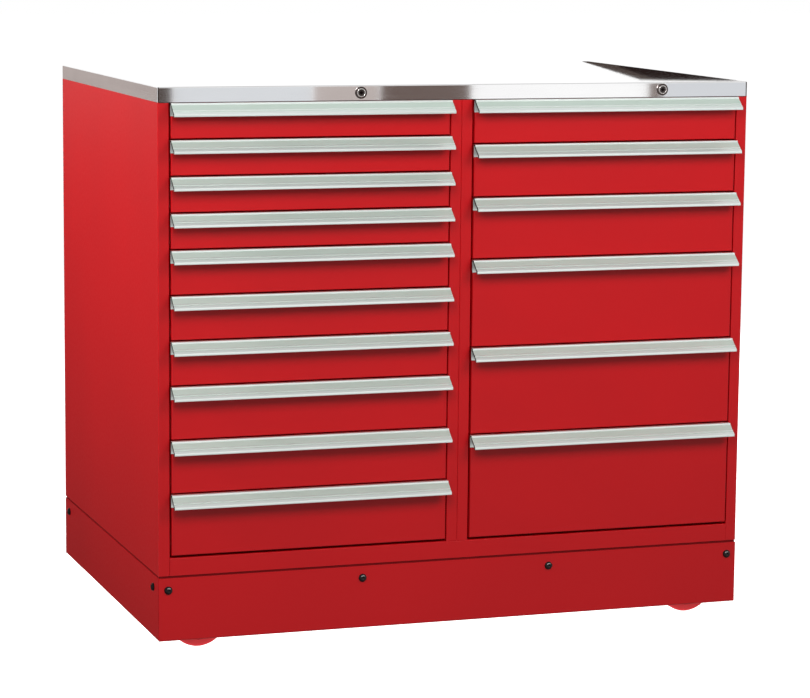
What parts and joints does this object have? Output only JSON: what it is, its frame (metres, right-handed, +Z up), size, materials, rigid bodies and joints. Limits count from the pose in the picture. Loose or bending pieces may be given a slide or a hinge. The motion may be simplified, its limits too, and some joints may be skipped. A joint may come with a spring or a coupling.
{
  "type": "roller tool cabinet",
  "caption": "Two-bank roller tool cabinet with a stainless worktop, drawers with full-width aluminium pulls, key locks and a skirted base on casters.",
  "frame": {"origin": "on the floor under the middle of the bounding box", "axes": "+X along the front from left to right, +Y from the front to the back, +Z up"},
  "size_m": [1.3404, 0.9562, 1.2053],
  "materials": {
    "red powder coat": "semi-gloss powder coat on sheet steel",
    "black paint": "satin black paint on steel bar",
    "brushed stainless steel": "fine brushed",
    "anodised aluminium": "satin anodised extrusion",
    "wood board": "raw board, covered",
    "black oxide steel": "black oxide, slightly oiled",
    "zinc plated steel": "bright zinc plate",
    "chrome": "polished",
    "red polyurethane": "satin moulded"
  },
  "bodies": {
    "cabinet": {"left_side_panel": "red powder coat", "right_side_panel": "red powder coat", "bottom_pan": "red powder coat", "back_panel": "red powder coat", "top_pan": "red powder coat", "centre_divider": "red powder coat", "front_skirt": "red powder coat", "rear_skirt": "red powder coat", "left_skirt": "red powder coat", "right_skirt": "red powder coat", "base_frame": "black paint", "stainless_top": "brushed stainless steel", "worktop_core": "wood board", "skirt_screws": "black oxide steel", "slide_rails": "zinc plated steel", "lock_barrels": "chrome", "rigid_caster_forks": "zinc plated steel", "swivel_caster_plates": "zinc plated steel"},
    "drawer_left_01": {"drawer_left_01": "red powder coat", "pull_left_01": "anodised aluminium"},
    "drawer_left_02": {"drawer_left_02": "red powder coat", "pull_left_02": "anodised aluminium"},
    "drawer_left_03": {"drawer_left_03": "red powder coat", "pull_left_03": "anodised aluminium"},
    "drawer_left_04": {"drawer_left_04": "red powder coat", "pull_left_04": "anodised aluminium"},
    "drawer_left_05": {"drawer_left_05": "red powder coat", "pull_left_05": "anodised aluminium"},
    "drawer_left_06": {"drawer_left_06": "red powder coat", "pull_left_06": "anodised aluminium"},
    "drawer_left_07": {"drawer_left_07": "red powder coat", "pull_left_07": "anodised aluminium"},
    "drawer_left_08": {"drawer_left_08": "red powder coat", "pull_left_08": "anodised aluminium"},
    "drawer_left_09": {"drawer_left_09": "red powder coat", "pull_left_09": "anodised aluminium"},
    "drawer_left_10": {"drawer_left_10": "red powder coat", "pull_left_10": "anodised aluminium"},
    "drawer_right_01": {"drawer_right_01": "red powder coat", "pull_right_01": "anodised aluminium"},
    "drawer_right_02": {"drawer_right_02": "red powder coat", "pull_right_02": "anodised aluminium"},
    "drawer_right_03": {"drawer_right_03": "red powder coat", "pull_right_03": "anodised aluminium"},
    "drawer_right_04": {"drawer_right_04": "red powder coat", "pull_right_04": "anodised aluminium"},
    "drawer_right_05": {"drawer_right_05": "red powder coat", "pull_right_05": "anodised aluminium"},
    "drawer_right_06": {"drawer_right_06": "red powder coat", "pull_right_06": "anodised aluminium"},
    "left_lock_plug": {"left_lock_plug": "chrome"},
    "left_lock_bar": {"left_lock_bar": "zinc plated steel"},
    "right_lock_plug": {"right_lock_plug": "chrome"},
    "right_lock_bar": {"right_lock_bar": "zinc plated steel"},
    "front_swivel_fork": {"front_swivel_fork": "zinc plated steel"},
    "rear_swivel_fork": {"rear_swivel_fork": "zinc plated steel"},
    "left_front_wheel": {"left_front_wheel": "red polyurethane"},
    "right_front_wheel": {"right_front_wheel": "red polyurethane"},
    "left_rear_wheel": {"left_rear_wheel": "red polyurethane"},
    "right_rear_wheel": {"right_rear_wheel": "red polyurethane"}
  },
  "joints": [
    {"name": "drawer_left_01_slide", "type": "slide", "parent": "cabinet", "child": "drawer_left_01", "axis": [0, -1, 0], "range_m": [0, 0.6]},
    {"name": "drawer_left_02_slide", "type": "slide", "parent": "cabinet", "child": "drawer_left_02", "axis": [0, -1, 0], "range_m": [0, 0.6]},
    {"name": "drawer_left_03_slide", "type": "slide", "parent": "cabinet", "child": "drawer_left_03", "axis": [0, -1, 0], "range_m": [0, 0.6]},
    {"name": "drawer_left_04_slide", "type": "slide", "parent": "cabinet", "child": "drawer_left_04", "axis": [0, -1, 0], "range_m": [0, 0.6]},
    {"name": "drawer_left_05_slide", "type": "slide", "parent": "cabinet", "child": "drawer_left_05", "axis": [0, -1, 0], "range_m": [0, 0.6]},
    {"name": "drawer_left_06_slide", "type": "slide", "parent": "cabinet", "child": "drawer_left_06", "axis": [0, -1, 0], "range_m": [0, 0.6]},
    {"name": "drawer_left_07_slide", "type": "slide", "parent": "cabinet", "child": "drawer_left_07", "axis": [0, -1, 0], "range_m": [0, 0.6]},
    {"name": "drawer_left_08_slide", "type": "slide", "parent": "cabinet", "child": "drawer_left_08", "axis": [0, -1, 0], "range_m": [0, 0.6]},
    {"name": "drawer_left_09_slide", "type": "slide", "parent": "cabinet", "child": "drawer_left_09", "axis": [0, -1, 0], "range_m": [0, 0.6]},
    {"name": "drawer_left_10_slide", "type": "slide", "parent": "cabinet", "child": "drawer_left_10", "axis": [0, -1, 0], "range_m": [0, 0.6]},
    {"name": "drawer_right_01_slide", "type": "slide", "parent": "cabinet", "child": "drawer_right_01", "axis": [0, -1, 0], "range_m": [0, 0.6]},
    {"name": "drawer_right_02_slide", "type": "slide", "parent": "cabinet", "child": "drawer_right_02", "axis": [0, -1, 0], "range_m": [0, 0.6]},
    {"name": "drawer_right_03_slide", "type": "slide", "parent": "cabinet", "child": "drawer_right_03", "axis": [0, -1, 0], "range_m": [0, 0.6]},
    {"name": "drawer_right_04_slide", "type": "slide", "parent": "cabinet", "child": "drawer_right_04", "axis": [0, -1, 0], "range_m": [0, 0.6]},
    {"name": "drawer_right_05_slide", "type": "slide", "parent": "cabinet", "child": "drawer_right_05", "axis": [0, -1, 0], "range_m": [0, 0.6]},
    {"name": "drawer_right_06_slide", "type": "slide", "parent": "cabinet", "child": "drawer_right_06", "axis": [0, -1, 0], "range_m": [0, 0.6]},
    {"name": "left_lock_turn", "type": "hinge", "parent": "cabinet", "child": "left_lock_plug", "pos_m": [-0.226, -0.4411, 1.18938], "axis": [0, 1, 0], "range_deg": [0, 90]},
    {"name": "left_lock_bar_drop", "type": "slide", "parent": "cabinet", "child": "left_lock_bar", "axis": [0, 0, -1], "range_m": [0, 0.008]},
    {"name": "right_lock_turn", "type": "hinge", "parent": "cabinet", "child": "right_lock_plug", "pos_m": [0.462, -0.4411, 1.18938], "axis": [0, 1, 0], "range_deg": [0, 90]},
    {"name": "right_lock_bar_drop", "type": "slide", "parent": "cabinet", "child": "right_lock_bar", "axis": [0, 0, -1], "range_m": [0, 0.008]},
    {"name": "front_swivel", "type": "hinge", "parent": "cabinet", "child": "front_swivel_fork", "pos_m": [0.555, -0.3311, 0.165], "axis": [0, 0, 1], "continuous": true},
    {"name": "rear_swivel", "type": "hinge", "parent": "cabinet", "child": "rear_swivel_fork", "pos_m": [0.555, 0.3629, 0.165], "axis": [0, 0, 1], "continuous": true},
    {"name": "left_front_wheel_spin", "type": "hinge", "parent": "cabinet", "child": "left_front_wheel", "pos_m": [-0.555, -0.3311, 0.0635], "axis": [0, 1, 0], "continuous": true},
    {"name": "right_front_wheel_spin", "type": "hinge", "parent": "front_swivel_fork", "child": "right_front_wheel", "pos_m": [0.587, -0.3311, 0.0635], "axis": [0, 1, 0], "continuous": true},
    {"name": "left_rear_wheel_spin", "type": "hinge", "parent": "cabinet", "child": "left_rear_wheel", "pos_m": [-0.555, 0.3629, 0.0635], "axis": [0, 1, 0], "continuous": true},
    {"name": "right_rear_wheel_spin", "type": "hinge", "parent": "rear_swivel_fork", "child": "right_rear_wheel", "pos_m": [0.587, 0.3629, 0.0635], "axis": [0, 1, 0], "continuous": true}
  ],
  "couplings": [
    {"joint": "left_lock_turn", "follows": "left_lock_bar_drop", "rad_per_m": 196.34},
    {"joint": "right_lock_turn", "follows": "right_lock_bar_drop", "rad_per_m": 196.34}
  ]
}
